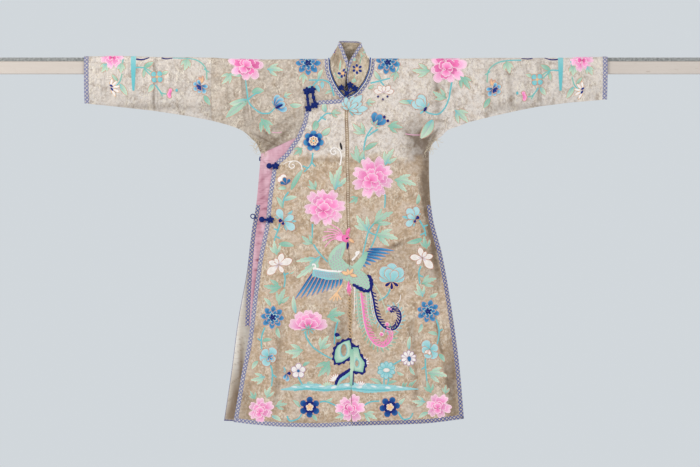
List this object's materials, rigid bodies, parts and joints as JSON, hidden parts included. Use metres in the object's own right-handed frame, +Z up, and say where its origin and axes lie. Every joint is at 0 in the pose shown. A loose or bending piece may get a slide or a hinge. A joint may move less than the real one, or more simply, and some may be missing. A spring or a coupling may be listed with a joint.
{
  "type": "chinese theatrical jacket on a hanging rod",
  "caption": "Embroidered side-closing theatrical jacket hung flat by its sleeves on a padded wooden rod, with open neck, cuffs, hem and side vents.",
  "frame": {"origin": "middle of the wooden rod that carries the jacket", "axes": "+X towards the wearer's left along the rod, -Y towards the front of the jacket, +Z up"},
  "size_m": [2.06, 0.0444, 1.0997],
  "materials": {
    "gold_cloth": "couched metal thread and silk embroidery on silk, soft metallic sheen",
    "pale_cloth": "paler couched metal thread on silk",
    "pink_silk": "plain silk satin",
    "cream_lining": "plain matt cotton or silk lining",
    "blue_ribbon": "woven ribbon, blue lattice on cream",
    "navy_cord": "satin cord",
    "painted_wood": "painted or bleached wood, smooth",
    "grey_felt": "soft felt strip"
  },
  "bodies": {
    "root": {"rod": "painted_wood", "rod_felt": "grey_felt", "front_left": "gold_cloth", "front_overlap": "gold_cloth", "front_right": "gold_cloth", "underlap": "pink_silk", "back": "gold_cloth", "vent_lining": "cream_lining", "sleeve_right_front": "pale_cloth", "sleeve_right_back": "pale_cloth", "sleeve_left_front": "pale_cloth", "sleeve_left_back": "pale_cloth", "collar": "gold_cloth", "collar_trim": "blue_ribbon", "neck_piping": "navy_cord", "trim_front_left": "blue_ribbon", "trim_overlap": "blue_ribbon", "trim_underlap": "blue_ribbon", "trim_back": "blue_ribbon", "neck_trim_left": "blue_ribbon", "neck_trim_right": "blue_ribbon", "neck_trim_back": "blue_ribbon", "cuff_right": "blue_ribbon", "cuff_left": "blue_ribbon", "fastening_neck": "navy_cord", "fastening_shoulder": "navy_cord", "fastening_underarm": "navy_cord", "fastening_side": "navy_cord", "vent_ring": "navy_cord"}
  },
  "joints": []
}
